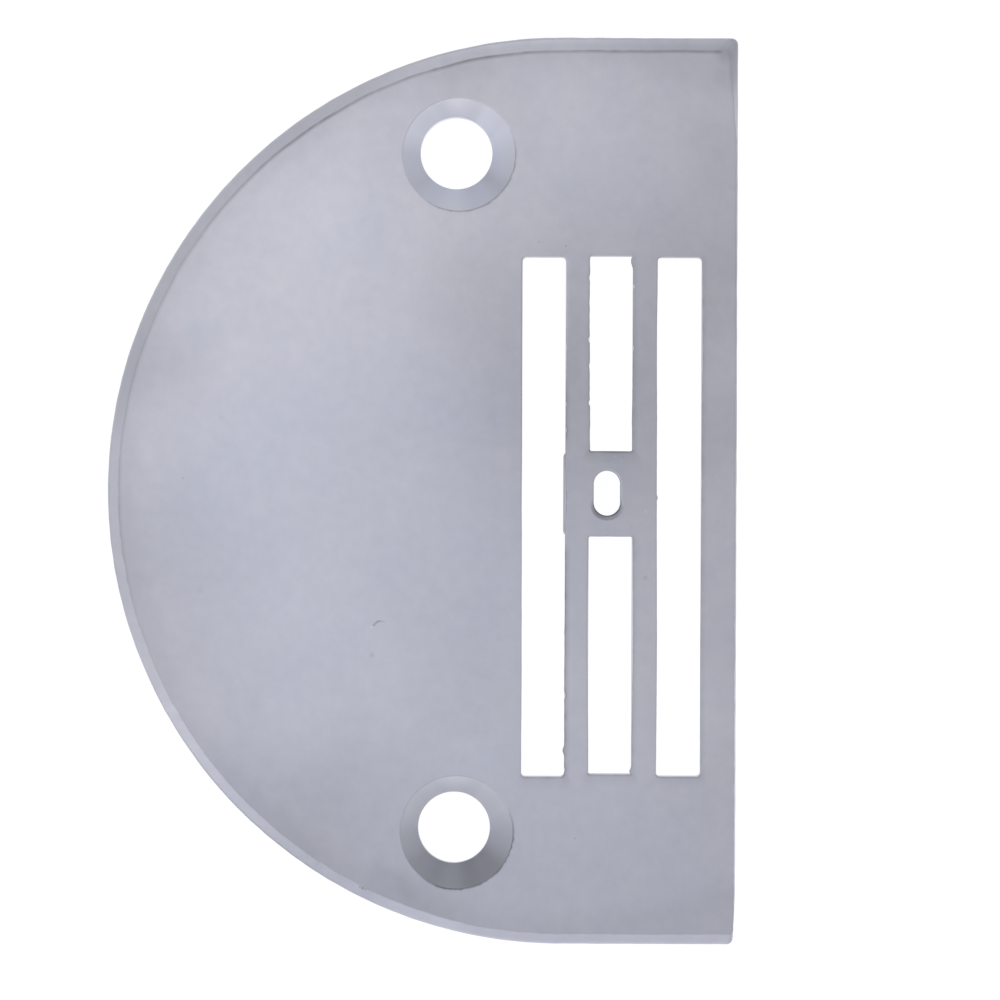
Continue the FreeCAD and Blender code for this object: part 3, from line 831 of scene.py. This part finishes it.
class NEEDLEPLATE_OT_plate(bpy.types.Operator):
    """Builds the steel plate in the place of its plain node"""

    bl_idname = "needleplate.plate"
    bl_label = "Plate"

    def execute(self, context):
        s = in_millimetres(context.scene.needleplate_sizes)
        low = PLATE_LOW / MM
        high = PLATE_HIGH / MM
        shell = start_shape()
        build_shell(shell, s, low, high)
        plate = to_object(shell, "steel_plate")
        block = start_shape()
        build_boss(block, s, low, high)
        boss = to_object(block, "boss")
        satin = satin_steel(context.scene.needleplate_finish)
        plate.data.materials.append(satin)
        plate.data.materials.append(turned_steel(context.scene.needleplate_finish))
        boss.data.materials.append(satin)
        join = plate.modifiers.new("Join", "BOOLEAN")
        join.operation = "UNION"
        join.solver = "EXACT"
        join.object = boss
        apply_modifiers(plate)
        bpy.data.objects.remove(boss)
        mesh = plate.data
        mesh.shade_smooth()
        mesh.set_sharp_from_angle(angle=SHARP_ANGLE)
        plate.modifiers.new("Even shading", "WEIGHTED_NORMAL").keep_sharp = True
        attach(plate, "root")
        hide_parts("needle_plate")
        return {"FINISHED"}


class NEEDLEPLATE_OT_stage(bpy.types.Operator):
    """Sets the paper floor, the soft boxes and the camera"""

    bl_idname = "needleplate.stage"
    bl_label = "Stage"

    def execute(self, context):
        scene = context.scene
        settings = scene.needleplate_stage
        sheet = bmesh.new()
        bmesh.ops.create_grid(sheet, x_segments=1, y_segments=1, size=FLOOR_REACH)
        mesh = bpy.data.meshes.new("floor")
        sheet.to_mesh(mesh)
        sheet.free()
        mesh.materials.append(white_paper(settings))
        floor = bpy.data.objects.new("floor", mesh)
        scene.collection.objects.link(floor)

        world = bpy.data.worlds.new("studio")
        world.use_nodes = True
        scene.world = world
        world.node_tree.nodes["Background"].inputs["Color"].default_value = (1.0, 1.0, 1.0, 1.0)
        world.node_tree.nodes["Background"].inputs["Strength"].default_value = WORLD_STRENGTH

        add_lamp("over_the_round_end", (-0.02, 0.02, 0.08), 0.04, 0.0035)
        add_lamp("over_the_rear", (-0.02, -0.02, 0.08), 0.04, 0.0013)
        add_lamp("rear_left", (-0.6, -0.6, 0.53), 0.5, 0.68)
        add_lamp("rear", (0.0, -0.978, 0.208), 0.5, 0.46)
        add_lamp("front", (0.0, 0.065, 0.045), 0.03, 0.0023)

        lens = bpy.data.cameras.new("camera")
        lens.lens = lens.sensor_width * settings.camera_height / settings.frame_width
        camera = bpy.data.objects.new("camera", lens)
        camera.location = (CAMERA_X, CAMERA_Y, PLATE_HIGH.z + settings.camera_height)
        camera.rotation_euler = (0.0, 0.0, CAMERA_TURN)
        scene.collection.objects.link(camera)
        scene.camera = camera
        scene.view_settings.view_transform = "Standard"
        return {"FINISHED"}


OPERATORS = (NEEDLEPLATE_OT_plate, NEEDLEPLATE_OT_stage)


class NEEDLEPLATE_PT_panel(bpy.types.Panel):
    """Lists the steps in the order in which they run"""

    bl_label = "Needle Plate"
    bl_idname = "NEEDLEPLATE_PT_panel"
    bl_space_type = "VIEW_3D"
    bl_region_type = "UI"
    bl_category = "Needle Plate"

    def draw(self, context):
        scene = context.scene
        for step in OPERATORS:
            self.layout.operator(step.bl_idname)
        for group in (scene.needleplate_sizes, scene.needleplate_finish,
                      scene.needleplate_stage):
            box = self.layout.box()
            for name in type(group).__annotations__:
                box.prop(group, name)


CLASSES = (PlateSizes, PlateFinish, StageSettings, *OPERATORS, NEEDLEPLATE_PT_panel)


def register():
    for item in CLASSES:
        bpy.utils.register_class(item)
    bpy.types.Scene.needleplate_sizes = PointerProperty(type=PlateSizes)
    bpy.types.Scene.needleplate_finish = PointerProperty(type=PlateFinish)
    bpy.types.Scene.needleplate_stage = PointerProperty(type=StageSettings)


def unregister():
    del bpy.types.Scene.needleplate_stage
    del bpy.types.Scene.needleplate_finish
    del bpy.types.Scene.needleplate_sizes
    for item in reversed(CLASSES):
        bpy.utils.unregister_class(item)


def main():
    """Runs every step."""
    register()
    bpy.ops.needleplate.plate()
    bpy.ops.needleplate.stage()


if __name__ == "__main__":
    main()
